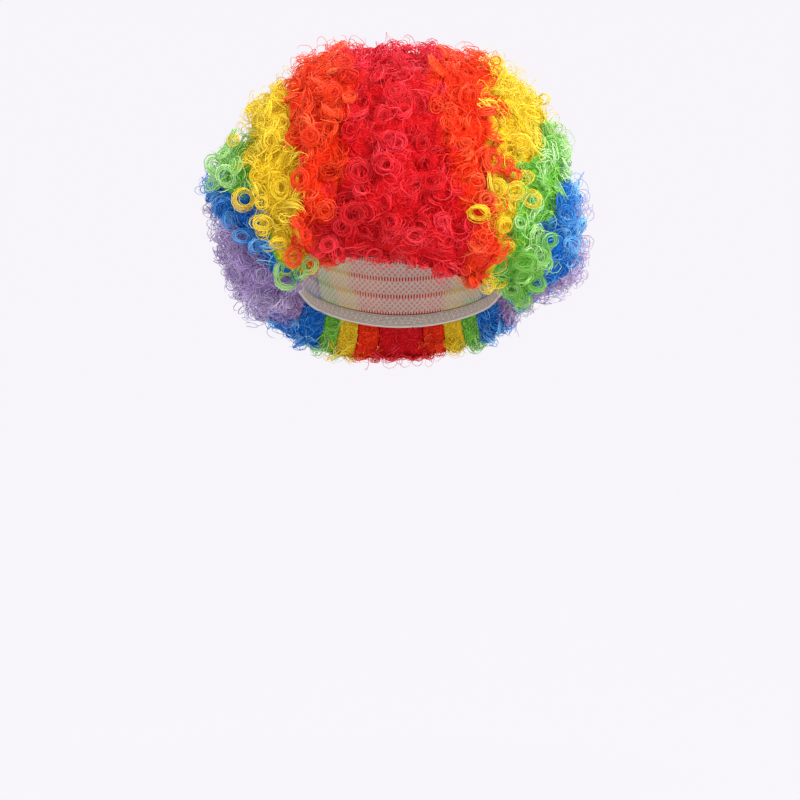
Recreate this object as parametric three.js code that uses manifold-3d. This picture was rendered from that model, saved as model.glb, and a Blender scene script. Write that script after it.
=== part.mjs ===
// A curly rainbow clown wig, in millimetres, +Z up. The face looks along -Y, and +X is to the viewer's
// right. The origin is the inside of the cap at the crown, where the head bears. A thin stretch cap, a
// round top sewn to four wall panels, carries an elastic edge band and eleven stripes of curly hair: a
// red one down the middle and, on each side, an orange, a yellow, a green, a blue and a purple one. They
// run from the forehead over the crown to the nape. Each stripe is one solid: a thick backing that
// follows the cap, with curled locks fused to it.
import * as THREE from "three";
import { mergeVertices } from "three/addons/utils/BufferGeometryUtils.js";
import Module from "manifold-3d";

const wasm = await Module();
wasm.setup();

// The head that the cap fits
const headBreadth = 154;
const headLength = 194;
const crownHeight = 95; // the crown above the level where the head is widest

// The cap and its elastic edge band
const capWall = 1.8;
const bandHeight = 10;
const bandProud = 0.8; // how far the band stands in from the cap's inner face
const bandGap = 0.5; // between the cap's edge and the band
const crownShare = 0.42; // of the way from the crown to the band that the cap's round top takes up
const panelGap = 0.5; // between the cap's top and the panels of its wall
const panelTurn = 0.3; // degrees that each panel keeps back at both sides

// The hair's outline
const hairBreadth = 276;
const frontReach = 138; // from the origin to the foremost curls
const backReach = 154;
const hairTop = 61; // the highest curls above the origin
const widestDrop = 58; // the widest level below the origin
const cornerPower = 2.6; // 2 rounds the lower edge as an ellipse does, and more makes it fuller
const rootGap = 0.5; // between the cap and the hair
const hangGap = 3; // from the rim's line out to the inner face of the hair that hangs below it
const stripeGap = 0.6; // between two stripes

// The curled locks on the hair
const lockPitch = 53;
const lockLoop = 13; // the radius of a lock's curl
const lockTube = 6; // the radius of the lock itself
const lockArc = 250; // degrees of the curl, which is open where it roots in the backing
const lockProud = 11; // how far a lock stands out from the backing
const lockLean = 50; // degrees that a curl leans over from upright
const lockTwist = 5; // how far a curl's two feet stand apart along its axis
const lockGap = 1.2; // between the locks of two stripes
const rootShare = 0.2; // of the backing's depth, where the roots of the locks end

// How finely the round forms are cut
const columns = 24; // round the cap and the band
const crownRows = 3; // from the crown to the edge of the cap's top
const panelColumns = 6;
const panelRows = 3;
const stripeRows = 20; // along a stripe
const sideColumns = 2; // across a stripe on one side
const middleColumns = 4; // across the middle stripe
const lockSides = 4;
const lockSteps = 5;
const facetSpan = 19; // degrees between the far corners of a stripe's widest facet
const endCrowding = 0.06; // how much the rows crowd towards a stripe's two ends
const searchSteps = 30; // of halving, where a line meets a face
const slopeStep = 0.01; // share of a stripe over which its slope is measured
const weldDistance = 1e-4;

// The rim of the cap round the head: azimuth is degrees from the forehead, positive to the viewer's right,
// and polar is the angle down from the crown on the head's own ellipsoid.
const rimTable = [
  { azimuth: -180, polar: 118 },
  { azimuth: -130, polar: 110 },
  { azimuth: -100, polar: 99 },
  { azimuth: -75, polar: 99 },
  { azimuth: -45, polar: 86 },
  { azimuth: 0, polar: 81 },
  { azimuth: 45, polar: 86 },
  { azimuth: 75, polar: 99 },
  { azimuth: 100, polar: 99 },
  { azimuth: 130, polar: 110 },
];

// The lower edge of the hair: how far the curls hang below the rim, as a share of crownHeight. The
// fringe is longer on the viewer's right, and the nape is longer on the left.
const hangTable = [
  { azimuth: -180, hang: 0.22 },
  { azimuth: -135, hang: 0.27 },
  { azimuth: -105, hang: 0.18 },
  { azimuth: -80, hang: 0.16 },
  { azimuth: -50, hang: 0.2 },
  { azimuth: -20, hang: 0.16 },
  { azimuth: 15, hang: 0.26 },
  { azimuth: 35, hang: 0.3 },
  { azimuth: 80, hang: 0.16 },
  { azimuth: 105, hang: 0.18 },
  { azimuth: 135, hang: 0.2 },
];

// The seams between the stripes. pitch is degrees round the head from the forehead (0) over the crown
// (90) to the back (180). The other columns are degrees out from the middle plane, seen from the widest
// level of the head.
const rightSeams = [
  { pitch: -20, redOrange: 22, orangeYellow: 32, yellowGreen: 40, greenBlue: 55, bluePurple: 66 },
  { pitch: 0, redOrange: 20, orangeYellow: 31, yellowGreen: 38, greenBlue: 53, bluePurple: 66 },
  { pitch: 20, redOrange: 14, orangeYellow: 26, yellowGreen: 37, greenBlue: 54, bluePurple: 67 },
  { pitch: 45, redOrange: 12, orangeYellow: 28, yellowGreen: 42, greenBlue: 58, bluePurple: 69 },
  { pitch: 90, redOrange: 9, orangeYellow: 26, yellowGreen: 48, greenBlue: 63, bluePurple: 74 },
  { pitch: 140, redOrange: 11, orangeYellow: 26, yellowGreen: 44, greenBlue: 58, bluePurple: 71 },
  { pitch: 180, redOrange: 11, orangeYellow: 24, yellowGreen: 37, greenBlue: 49, bluePurple: 62 },
  { pitch: 215, redOrange: 9, orangeYellow: 18, yellowGreen: 27, greenBlue: 36, bluePurple: 54 },
  { pitch: 270, redOrange: 12, orangeYellow: 22, yellowGreen: 32, greenBlue: 42, bluePurple: 56 },
];
const leftSeams = [
  { pitch: -20, redOrange: 23, orangeYellow: 28, yellowGreen: 37, greenBlue: 43, bluePurple: 51 },
  { pitch: 0, redOrange: 22, orangeYellow: 28, yellowGreen: 38, greenBlue: 45, bluePurple: 54 },
  { pitch: 20, redOrange: 19, orangeYellow: 30, yellowGreen: 45, greenBlue: 53, bluePurple: 60 },
  { pitch: 45, redOrange: 17, orangeYellow: 34, yellowGreen: 51, greenBlue: 60, bluePurple: 68 },
  { pitch: 90, redOrange: 13, orangeYellow: 31, yellowGreen: 53, greenBlue: 65, bluePurple: 75 },
  { pitch: 140, redOrange: 12, orangeYellow: 27, yellowGreen: 46, greenBlue: 60, bluePurple: 71 },
  { pitch: 180, redOrange: 11, orangeYellow: 24, yellowGreen: 37, greenBlue: 49, bluePurple: 62 },
  { pitch: 215, redOrange: 9, orangeYellow: 18, yellowGreen: 27, greenBlue: 36, bluePurple: 54 },
  { pitch: 270, redOrange: 12, orangeYellow: 22, yellowGreen: 32, greenBlue: 42, bluePurple: 54 },
];
const seamNames = ["redOrange", "orangeYellow", "yellowGreen", "greenBlue", "bluePurple"];
const sideColours = ["orange", "yellow", "green", "blue", "purple"];

const hairRoughness = 0.45;
const finishes = {
  cap: { color: "#d9d4cc", roughness: 0.8 },
  band: { color: "#c9c3ba", roughness: 0.75 },
  red: { color: "#dc1f2c", roughness: hairRoughness },
  orange: { color: "#f4502a", roughness: hairRoughness },
  yellow: { color: "#f5cb2e", roughness: hairRoughness },
  green: { color: "#6fbb52", roughness: hairRoughness },
  blue: { color: "#2273c0", roughness: hairRoughness },
  purple: { color: "#8f74ab", roughness: hairRoughness },
};

const rad = THREE.MathUtils.degToRad;
const deg = THREE.MathUtils.radToDeg;

// A column of a table at an angle in degrees, on one smooth closed curve through its rows
function tableAt(rows, key, column, angle) {
  const turned = THREE.MathUtils.euclideanModulo(angle - rows[0][key], 360) + rows[0][key];
  const count = rows.length;
  const knot = (i) => {
    const turns = Math.floor(i / count);
    return rows[i - turns * count][key] + 360 * turns;
  };
  const value = (i) => rows[THREE.MathUtils.euclideanModulo(i, count)][column];
  const slope = (i) => (value(i + 1) - value(i - 1)) / (knot(i + 1) - knot(i - 1));
  let i = 0;
  while (i < count - 1 && knot(i + 1) <= turned) i += 1;
  const span = knot(i + 1) - knot(i);
  const t = (turned - knot(i)) / span;
  const ease = t * t * (3 - 2 * t);
  const lead = t * (1 - t) * (1 - t) * slope(i);
  const trail = t * t * (1 - t) * slope(i + 1);
  return value(i) * (1 - ease) + value(i + 1) * ease + span * (lead - trail);
}

// A column of a table, on one side of the head (+1 right, -1 left), as a signed angle from the middle plane
function seamAngle(side, seam) {
  const table = side > 0 ? rightSeams : leftSeams;
  return (pitch) => side * tableAt(table, "pitch", seam, pitch);
}

function shares(count) {
  return Array.from({ length: count + 1 }, (_, i) => i / count);
}

// The point at an azimuth, a radius from the vertical axis and a height
function pointRound(azimuth, radius, height) {
  return new THREE.Vector3(radius * Math.sin(rad(azimuth)), -radius * Math.cos(rad(azimuth)), height);
}

// How far an ellipse round the vertical axis reaches at an azimuth
function ellipseRadius(azimuth, acrossHalf, alongHalf) {
  return 1 / Math.hypot(Math.sin(rad(azimuth)) / acrossHalf, Math.cos(rad(azimuth)) / alongHalf);
}

// A point of the head's ellipsoid, with offset added to each of its half axes
function headPoint(azimuth, polar, offset) {
  const radius = ellipseRadius(azimuth, headBreadth / 2 + offset, headLength / 2 + offset);
  const height = (crownHeight + offset) * Math.cos(rad(polar)) - crownHeight;
  return pointRound(azimuth, radius * Math.sin(rad(polar)), height);
}

// The polar angle of the cap's rim, and of a line that lies a distance above it on the head
function rimPolar(azimuth, above = 0) {
  return tableAt(rimTable, "azimuth", "polar", azimuth) - deg(above / crownHeight);
}

// A lathe whose profile changes as it turns: profileAt(azimuth) gives the points of each section in turn
function turned(profileAt) {
  const sections = Array.from({ length: columns }, (_, i) => profileAt((360 * i) / columns));
  const blank = sections[0].map((_, row) => new THREE.Vector2(1, row));
  const geometry = new THREE.LatheGeometry(blank, columns);
  const position = geometry.getAttribute("position");
  for (let i = 0; i <= columns; i += 1) {
    sections[i % columns].forEach((p, row) => position.setXYZ(i * blank.length + row, p.x, p.y, p.z));
  }
  return solidOf(geometry);
}

// A box bent into a stripe or a panel: pointAt(u, v, w) is across it, along it and from its inner face (0)
// to its outer (1)
function bentBox(across, rows, pointAt) {
  const geometry = new THREE.BoxGeometry(1, 1, 1, across, rows, 1);
  const position = geometry.getAttribute("position");
  for (let i = 0; i < position.count; i += 1) {
    const share = new THREE.Vector3().fromBufferAttribute(position, i).addScalar(0.5);
    const p = pointAt(share.x, share.y, share.z);
    position.setXYZ(i, p.x, p.y, p.z);
  }
  return solidOf(geometry);
}

// A closed geometry as a manifold-3d solid, turned the right way out
function solidOf(geometry) {
  const bare = geometry.clone();
  ["normal", "uv"].forEach((name) => bare.deleteAttribute(name));
  const merged = mergeVertices(bare, weldDistance);
  const kept = [];
  for (let i = 0; i < merged.index.count; i += 3) {
    const [a, b, c] = [0, 1, 2].map((k) => merged.index.getX(i + k));
    if (a !== b && b !== c && c !== a) kept.push(a, b, c);
  }
  const vertProperties = new Float32Array(merged.getAttribute("position").array);
  const build = (corners) =>
    new wasm.Manifold(new wasm.Mesh({ numProp: 3, vertProperties, triVerts: new Uint32Array(corners) }));
  const solid = build(kept);
  if (solid.volume() > 0) return solid;
  const reversed = kept.map((corner, i) => kept[i - (i % 3) + 2 - (i % 3)]);
  return build(reversed);
}

function geometryOf(solid) {
  const mesh = solid.getMesh();
  const points = new Float32Array(mesh.numVert * 3);
  for (let i = 0; i < mesh.numVert; i += 1) {
    points.set(mesh.vertProperties.subarray(i * mesh.numProp, i * mesh.numProp + 3), i * 3);
  }
  const geometry = new THREE.BufferGeometry();
  geometry.setAttribute("position", new THREE.BufferAttribute(points, 3));
  geometry.setIndex(new THREE.BufferAttribute(new Uint32Array(mesh.triVerts), 1));
  geometry.computeVertexNormals();
  return geometry;
}

// The polar angle of the cap's edge at the band, and of the seam round its top
function edgePolar(azimuth) {
  return rimPolar(azimuth, bandHeight + bandGap);
}

function crownPolar(azimuth) {
  return edgePolar(azimuth) * crownShare;
}

// The cap's round top: a thin dome between the head's ellipsoid and one capWall outside it
function crownSolid() {
  return turned((azimuth) => {
    const edge = crownPolar(azimuth);
    const inner = shares(crownRows).map((t) => headPoint(azimuth, edge * t, 0));
    const outer = shares(crownRows).map((t) => headPoint(azimuth, edge * (1 - t), capWall));
    return [...inner, ...outer];
  });
}

// A panel of the cap's wall, a quarter of the way round, from the top's seam down to the band
function panelSolid(middle) {
  const half = 45 - panelTurn;
  return bentBox(panelColumns, panelRows, (u, v, w) => {
    const azimuth = middle + (2 * u - 1) * half;
    const upper = crownPolar(azimuth) + deg(panelGap / crownHeight);
    return headPoint(azimuth, upper + (edgePolar(azimuth) - upper) * v, capWall * w);
  });
}

// The edge band: a flat strip round the opening that carries the cap's wall down to the rim
function bandSolid() {
  return turned((azimuth) => {
    const upper = rimPolar(azimuth, bandHeight);
    const rim = rimPolar(azimuth);
    return [
      headPoint(azimuth, upper, -bandProud),
      headPoint(azimuth, rim, -bandProud),
      headPoint(azimuth, rim, capWall),
      headPoint(azimuth, upper, capWall),
      headPoint(azimuth, upper, -bandProud),
    ];
  });
}

// The hem of the hair: where its inner and outer faces meet, below the rim
function hemPoint(azimuth) {
  const rim = headPoint(azimuth, rimPolar(azimuth), capWall + rootGap);
  const drop = tableAt(hangTable, "azimuth", "hang", azimuth) * crownHeight;
  return pointRound(azimuth, Math.hypot(rim.x, rim.y) + hangGap, rim.z - drop);
}

// The hair's inner face at an azimuth: along runs over the cap from the crown (0) to the rim (1) and on
// to the hem (2)
function innerPoint(azimuth, along) {
  const rim = rimPolar(azimuth);
  const onCap = headPoint(azimuth, rim * Math.min(along, 1), capWall + rootGap);
  return onCap.lerp(hemPoint(azimuth), Math.max(along - 1, 0));
}

// The outer face of the hair's backing: along runs from the crown (0) to the widest level (1), on an
// ellipse, and on to the hem (2), on a fuller curve
function outerPoint(azimuth, along) {
  const reach = Math.cos(rad(azimuth)) > 0 ? frontReach : backReach;
  const widest = ellipseRadius(azimuth, hairBreadth / 2 - lockProud, reach - lockProud);
  if (along <= 1) {
    const turn = (along * Math.PI) / 2;
    const rise = (hairTop + widestDrop - lockProud) * Math.cos(turn);
    return pointRound(azimuth, widest * Math.sin(turn), rise - widestDrop);
  }
  const turn = ((along - 1) * Math.PI) / 2;
  const out = Math.max(Math.cos(turn), 0) ** (2 / cornerPower);
  const down = Math.sin(turn) ** (2 / cornerPower);
  const hem = hemPoint(azimuth);
  const inward = Math.hypot(hem.x, hem.y);
  return pointRound(azimuth, inward + (widest - inward) * out, (hem.z + widestDrop) * down - widestDrop);
}

// The value between two at which a test that holds at the first stops holding
function turningPoint(holds, first, last) {
  let [held, failed] = [first, last];
  for (let i = 0; i < searchSteps; i += 1) {
    const middle = (held + failed) / 2;
    if (holds(middle)) held = middle;
    else failed = middle;
  }
  return held;
}

// Directions are seen from the middle of the head's widest level. pitch goes round from the forehead (0)
// over the crown (90), and angle is out of the middle plane, positive to the right.
function wayTo(pitch, angle) {
  const [p, a] = [rad(pitch), rad(angle)];
  return new THREE.Vector3(Math.sin(a), -Math.cos(a) * Math.cos(p), Math.cos(a) * Math.sin(p));
}

function azimuthOf(way) {
  return deg(Math.atan2(way.x, -way.y));
}

function elevationOf(way) {
  return deg(Math.atan2(way.z, Math.hypot(way.x, way.y)));
}

function seenFromMiddle(point) {
  return new THREE.Vector3(point.x, point.y, point.z + crownHeight);
}

function hemElevation(azimuth) {
  return elevationOf(seenFromMiddle(hemPoint(azimuth)));
}

// Where a direction meets the inner or the outer face
function meets(faceAt, way) {
  const azimuth = azimuthOf(way);
  const above = (along) => elevationOf(seenFromMiddle(faceAt(azimuth, along))) > elevationOf(way);
  return faceAt(azimuth, turningPoint(above, 0, 2));
}

// A line of the hair from the hem in front (0) over the head to the hem behind (1), whose angle follows
// a seam
function seamLine(angleAt) {
  const aboveHem = (pitch) => {
    const way = wayTo(pitch, angleAt(pitch));
    return elevationOf(way) > hemElevation(azimuthOf(way));
  };
  const front = turningPoint(aboveHem, 90, -90);
  const back = turningPoint(aboveHem, 90, 270);
  return (v) => {
    const pitch = THREE.MathUtils.lerp(front, back, v - endCrowding * Math.sin(2 * Math.PI * v));
    return wayTo(pitch, angleAt(pitch));
  };
}

// The directions of a stripe between two seams, from the left one (0) to the right (1), each pulled in
// by half a gap
function seamedStripe(left, right, gap) {
  const inset = deg(gap / headBreadth);
  return (u, v) => {
    const angleAt = (pitch) => THREE.MathUtils.lerp(left(pitch) + inset, right(pitch) - inset, u);
    return seamLine(angleAt)(v);
  };
}

// The directions of the stripe between the last seam (0) and the hem over the ear (1)
function hemmedStripe(seam, side, gap) {
  const inset = side * deg(gap / headBreadth);
  const line = seamLine((pitch) => seam(pitch) + inset);
  return (u, v) => {
    const azimuth = THREE.MathUtils.lerp(azimuthOf(line(0)), azimuthOf(line(1)), v);
    const elevation = rad(hemElevation(azimuth));
    const hem = pointRound(azimuth, Math.cos(elevation), Math.sin(elevation));
    return line(v).lerp(hem, u).normalize();
  };
}

// The middle of a flat facet lies nearer the head than its corners do, so the corners stand out by this
// share
const facetSwell = 1 / Math.cos(rad(facetSpan / 2));

// A stripe's faces, swollen from the head's middle
function stripeFace(faceAt, way) {
  const point = seenFromMiddle(meets(faceAt, way)).multiplyScalar(facetSwell);
  return new THREE.Vector3(point.x, point.y, point.z - crownHeight);
}

// The backing of a stripe fills its directions from the inner face to the outer one
function backingSolid(across, wayAt) {
  return bentBox(across, stripeRows, (u, v, w) =>
    stripeFace(w < 0.5 ? innerPoint : outerPoint, wayAt(u, v)),
  );
}

// The room for a stripe's locks, which begins within the backing and ends well outside the hair
function lockRoom(across, wayAt) {
  return bentBox(across, stripeRows, (u, v, w) => {
    const way = wayAt(u, v);
    const outer = stripeFace(outerPoint, way);
    const root = stripeFace(innerPoint, way).lerp(outer, rootShare);
    return w < 0.5 ? root : outer.addScaledVector(way, hairBreadth / 2);
  });
}

// One lock: a tube that stands up in an open ring, a little twisted along its axis. The opening faces -Z.
class Curl extends THREE.Curve {
  getPoint(t, target = new THREE.Vector3()) {
    const turn = rad(lockArc) * (t - 0.5);
    return target.set(lockLoop * Math.sin(turn), lockTwist * (t - 0.5), lockLoop * Math.cos(turn));
  }
}

function lockGeometry() {
  const section = new THREE.Shape();
  for (let i = 0; i < lockSides; i += 1) {
    const turn = (2 * Math.PI * i) / lockSides;
    const corner = [lockTube * Math.cos(turn), lockTube * Math.sin(turn)];
    if (i === 0) section.moveTo(...corner);
    else section.lineTo(...corner);
  }
  section.closePath();
  const options = { steps: lockSteps, extrudePath: new Curl(), bevelEnabled: false };
  return new THREE.ExtrudeGeometry(section, options);
}

// A stripe's locks stand in rows along it, a pitch apart, and each second row is staggered by half a pitch
function lockPlaces(wayAt) {
  const faceAt = (u, v) => meets(outerPoint, wayAt(u, v));
  const rows = Math.max(1, Math.round(faceAt(0, 0.5).distanceTo(faceAt(1, 0.5)) / lockPitch));
  return shares(rows).slice(1).flatMap((end, row) => {
    const u = end - 0.5 / rows;
    const line = new THREE.CatmullRomCurve3(shares(stripeRows).map((v) => faceAt(u, v)));
    const count = Math.max(1, Math.round(line.getLength() / lockPitch));
    const stagger = row % 2 === 0 ? 0.25 : 0.75;
    return shares(count).slice(1).map((_, i) => lockPlace(faceAt, u, (i + stagger) / count));
  });
}

// A point of a face and the face's outward normal there
function lockPlace(faceAt, u, v) {
  const at = faceAt(u, v);
  const across = faceAt(u + slopeStep, v).sub(faceAt(u - slopeStep, v));
  const along = faceAt(u, v + slopeStep).sub(faceAt(u, v - slopeStep));
  const normal = new THREE.Vector3().crossVectors(across, along).normalize();
  if (normal.dot(seenFromMiddle(at)) < 0) normal.negate();
  return { at, normal };
}

// Each lock roots in the backing and is turned a golden angle from the one before, so that no two
// neighbours lie alike.
function lockSolid({ at, normal }, index) {
  const up = new THREE.Vector3(0, 0, 1);
  const goldenAngle = Math.PI * (3 - Math.sqrt(5));
  const pose = new THREE.Quaternion().setFromUnitVectors(up, normal);
  pose.multiply(new THREE.Quaternion().setFromAxisAngle(up, index * goldenAngle));
  pose.multiply(new THREE.Quaternion().setFromAxisAngle(new THREE.Vector3(1, 0, 0), rad(lockLean)));
  const rise = lockProud - lockTube - lockLoop * Math.cos(rad(lockLean));
  const centre = at.clone().addScaledVector(normal, rise);
  const place = new THREE.Matrix4().compose(centre, pose, new THREE.Vector3(1, 1, 1));
  return solidOf(lockGeometry().applyMatrix4(place));
}

// The stripe itself, without the chips that its edges cut off a lock
function largest(solid) {
  return solid.decompose().reduce((best, part) => (part.volume() > best.volume() ? part : best));
}

// A stripe of a number of columns across, from its directions as a function of the gap that it keeps
function stripeSolid(across, waysFor) {
  const locks = lockPlaces(waysFor(stripeGap)).map(lockSolid);
  const room = lockRoom(across, waysFor(lockGap));
  const trimmed = locks.reduce((whole, lock) => whole.add(lock)).intersect(room);
  return largest(backingSolid(across, waysFor(stripeGap)).add(trimmed));
}

// The stripes of one side (+1 right, -1 left), from the middle one's edge out to the ear
function sideStripes(side) {
  const seams = seamNames.map((name) => seamAngle(side, name));
  return sideColours.map((colour, i) => {
    const [left, right] = side > 0 ? [seams[i], seams[i + 1]] : [seams[i + 1], seams[i]];
    const last = i === seams.length - 1;
    const waysFor = (gap) => (last ? hemmedStripe(seams[i], side, gap) : seamedStripe(left, right, gap));
    return { colour, solid: stripeSolid(sideColumns, waysFor) };
  });
}

function piece(name, solid, finish) {
  const material = new THREE.MeshStandardMaterial({ ...finishes[finish], metalness: 0 });
  const mesh = new THREE.Mesh(geometryOf(solid), material);
  mesh.name = name;
  return mesh;
}

const middleSeams = [-1, 1].map((side) => seamAngle(side, seamNames[0]));
const middleStripe = stripeSolid(middleColumns, (gap) => seamedStripe(...middleSeams, gap));

const wig = new THREE.Group();
wig.add(piece("cap_crown", crownSolid(), "cap"));
wig.add(piece("cap_front", panelSolid(0), "cap"));
wig.add(piece("cap_right", panelSolid(90), "cap"));
wig.add(piece("cap_back", panelSolid(180), "cap"));
wig.add(piece("cap_left", panelSolid(270), "cap"));
wig.add(piece("edge_band", bandSolid(), "band"));
wig.add(piece("red_hair", middleStripe, "red"));
sideStripes(-1).forEach(({ colour, solid }) => wig.add(piece(`${colour}_hair_left`, solid, colour)));
sideStripes(1).forEach(({ colour, solid }) => wig.add(piece(`${colour}_hair_right`, solid, colour)));

export default wig;
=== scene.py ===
# Curly rainbow clown wig: eleven stripes of ringlets on a net cap with an elastic edge band.
# Metres, +Z up. It is worn facing along -Y, and +X is to the viewer's right. The origin is the inside of the
# cap's crown, where the top of the head bears.
import math
import bmesh
import bpy
import numpy as np
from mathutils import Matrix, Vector


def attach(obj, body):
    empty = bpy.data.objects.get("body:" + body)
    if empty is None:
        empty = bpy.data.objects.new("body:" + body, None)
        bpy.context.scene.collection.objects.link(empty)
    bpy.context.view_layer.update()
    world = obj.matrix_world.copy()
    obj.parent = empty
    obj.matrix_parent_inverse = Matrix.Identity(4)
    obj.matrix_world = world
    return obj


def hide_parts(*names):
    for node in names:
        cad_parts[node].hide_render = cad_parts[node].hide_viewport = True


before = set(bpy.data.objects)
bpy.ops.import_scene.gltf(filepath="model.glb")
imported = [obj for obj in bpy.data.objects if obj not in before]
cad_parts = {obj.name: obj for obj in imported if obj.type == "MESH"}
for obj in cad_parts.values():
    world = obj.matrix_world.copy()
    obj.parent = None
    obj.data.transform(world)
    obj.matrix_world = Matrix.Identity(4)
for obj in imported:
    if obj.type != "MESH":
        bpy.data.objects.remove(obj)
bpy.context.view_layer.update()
mm = 0.001
rng = np.random.default_rng(20)
print("frame loaded")

# The forms that everything is worked out from

head = {"breadth": 0.154, "length": 0.194, "crownHeight": 0.095, "capWall": 1.8 * mm}
hair = {
    "breadth": 0.276,       # across the widest level
    "frontReach": 0.138,    # from the origin to the foremost curls
    "backReach": 0.154,
    "top": 0.061,           # the highest curls above the origin
    "widestDrop": 0.058,    # the widest level below the origin
    "cornerPower": 2.6,     # how full the lower edge is, 2 is an ellipse
    "rootGap": 0.5 * mm,    # between the cap and the hair
    "hangGap": 3 * mm,      # how far the hanging hair stands off the head
}

# The cap's rim, as the angle down from the crown, and how far the curls hang below it, in crown heights
rimTable = {
    "azimuth": [-180, -130, -100, -75, -45, 0, 45, 75, 100, 130],
    "polar": [118, 110, 99, 99, 86, 81, 86, 99, 99, 110],
}
hangTable = {
    "azimuth": [-180, -135, -105, -80, -50, -20, 15, 35, 80, 105, 135],
    "hang": [0.22, 0.27, 0.18, 0.16, 0.20, 0.16, 0.26, 0.30, 0.16, 0.18, 0.20],
}
# Seams between the stripes, as angles out of the mid plane. The pitch runs round the head from the forehead
# (0) over the crown (90) to the back (180). Side 1 is the viewer's right.
seamTables = {
    1: {
        "pitch": [-20, 0, 20, 45, 90, 140, 180, 215, 270],
        "redOrange": [22, 20, 14, 12, 9, 11, 11, 9, 12],
        "orangeYellow": [32, 31, 26, 28, 26, 26, 24, 18, 22],
        "yellowGreen": [40, 38, 37, 42, 48, 44, 37, 27, 32],
        "greenBlue": [55, 53, 54, 58, 63, 58, 49, 36, 42],
        "bluePurple": [66, 66, 67, 69, 74, 71, 62, 54, 56],
    },
    -1: {
        "pitch": [-20, 0, 20, 45, 90, 140, 180, 215, 270],
        "redOrange": [23, 22, 19, 17, 13, 12, 11, 9, 12],
        "orangeYellow": [28, 28, 30, 34, 31, 27, 24, 18, 22],
        "yellowGreen": [37, 38, 45, 51, 53, 46, 37, 27, 32],
        "greenBlue": [43, 45, 53, 60, 65, 60, 49, 36, 42],
        "bluePurple": [51, 54, 60, 68, 75, 71, 62, 54, 54],
    },
}
# Where the curls' colours change: loose curls fall across the seams that they are sewn at
curlTables = {
    1: {
        "pitch": [-50, -20, 0, 20, 45, 90, 140, 180, 215, 270],
        "redOrange": [26, 24, 24, 17, 9, 8, 11, 11, 9, 12],
        "orangeYellow": [38, 37, 33, 28.5, 24.5, 24, 25, 24, 18, 22],
        "yellowGreen": [44, 42, 36, 38, 43, 48, 44, 37, 27, 32],
        "greenBlue": [67, 62, 55, 56, 59, 63, 58, 49, 36, 42],
        "bluePurple": [76, 74, 75, 75, 73, 75, 71, 62, 54, 56],
    },
    -1: {
        "pitch": [-20, 0, 20, 45, 90, 140, 180, 215, 270],
        "redOrange": [30, 27, 19, 14, 12, 12, 11, 9, 12],
        "orangeYellow": [43, 37, 31, 33, 31, 27, 24, 18, 22],
        "yellowGreen": [46, 45, 46, 48, 53, 46, 37, 27, 32],
        "greenBlue": [48, 46.5, 49, 61, 65, 60, 49, 36, 42],
        "bluePurple": [50, 56, 67, 73, 75, 71, 62, 54, 54],
    },
}
# How full the hair is seen from the front, by the angle from straight up round the middle of the widest
# level. Hair thinner than fullDepth takes less of it.
fullness = {
    "angle": [-150, -138, -125, -116, -105, -96, -86, -77, -70, -65, -57, -40, -30, 0, 24, 42, 60, 70, 75, 88,
              103, 114, 123, 130, 150],
    "reach": [1.0, 1.03, 1.04, 1.02, 0.975, 0.99, 1.025, 1.02, 0.98, 0.95, 1.005, 1.0, 1.06, 1.0, 1.035,
              1.025, 0.95, 0.955, 0.915, 0.96, 0.985, 1.015, 0.965, 0.92, 1.0],
    "fullDepth": 25 * mm,
}
waveNoise = {"waves": 7, "spread": (0.6, 1.5), "most": 2.6}
# Clumps of curls with hollows between them
clump = {
    "size": 32 * mm, "seed": 5,
    "middle": 0.42, "swing": 0.5,   # what noise of 0 makes of a hollow, and how much noise of 1 takes off it
    "depth": 10.5 * mm,             # how far a hollow goes in
    "shade": 0.55, "even": 0.4,     # painted shade: how much darker the curls in a hollow are painted, and the hollow that leaves them be; curls on clumps are painted lighter
}
seamNames = ["redOrange", "orangeYellow", "yellowGreen", "greenBlue", "bluePurple"]
colourNames = ["red", "orange", "yellow", "green", "blue", "purple"]
stripes = [("red", 0)] + [(colour, side) for side in (-1, 1) for colour in colourNames[1:]]


# A stripe's name: its colour and its side
def stripeName(colour, side):
    return colour if side == 0 else colour + ("_left" if side < 0 else "_right")


# The name of the solid that a stripe's pieces replace
def cadNode(colour, side):
    return "red_hair" if side == 0 else colour + ("_hair_left" if side < 0 else "_hair_right")


# One smooth closed curve through a table's rows: a cubic between rows, with the chord's slope over each row
def tableCurve(table, key, column, angle):
    knots = np.array(table[key], float)
    values = np.array(table[column], float)
    n = len(knots)
    turned = (np.asarray(angle, float) - knots[0]) % 360 + knots[0]
    i = np.searchsorted(knots, turned, side="right") - 1
    wrapped = lambda j: knots[j % n] + 360 * (j // n)
    slope = lambda j: (values[(j + 1) % n] - values[(j - 1) % n]) / (wrapped(j + 1) - wrapped(j - 1))
    span = wrapped(i + 1) - wrapped(i)
    t = (turned - wrapped(i)) / span
    ease = t * t * (3 - 2 * t)
    lead = t * (1 - t) ** 2 * slope(i)
    trail = t * t * (1 - t) * slope(i + 1)
    return values[i] * (1 - ease) + values[(i + 1) % n] * ease + span * (lead - trail)


# The point at an azimuth, a radius from the vertical axis and a height
def pointRound(azimuth, radius, height):
    a = np.radians(azimuth)
    return np.stack(np.broadcast_arrays(radius * np.sin(a), -radius * np.cos(a), height), -1)


# How far an ellipse round the vertical axis reaches at an azimuth
def ellipseRadius(azimuth, across, along):
    a = np.radians(azimuth)
    return 1 / np.hypot(np.sin(a) / across, np.cos(a) / along)


# The head's ellipsoid with offset added to each half axis, at an azimuth and an angle down from the crown
def headPoint(azimuth, polar, offset):
    radius = ellipseRadius(azimuth, head["breadth"] / 2 + offset, head["length"] / 2 + offset)
    height = (head["crownHeight"] + offset) * np.cos(np.radians(polar)) - head["crownHeight"]
    return pointRound(azimuth, radius * np.sin(np.radians(polar)), height)


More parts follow.
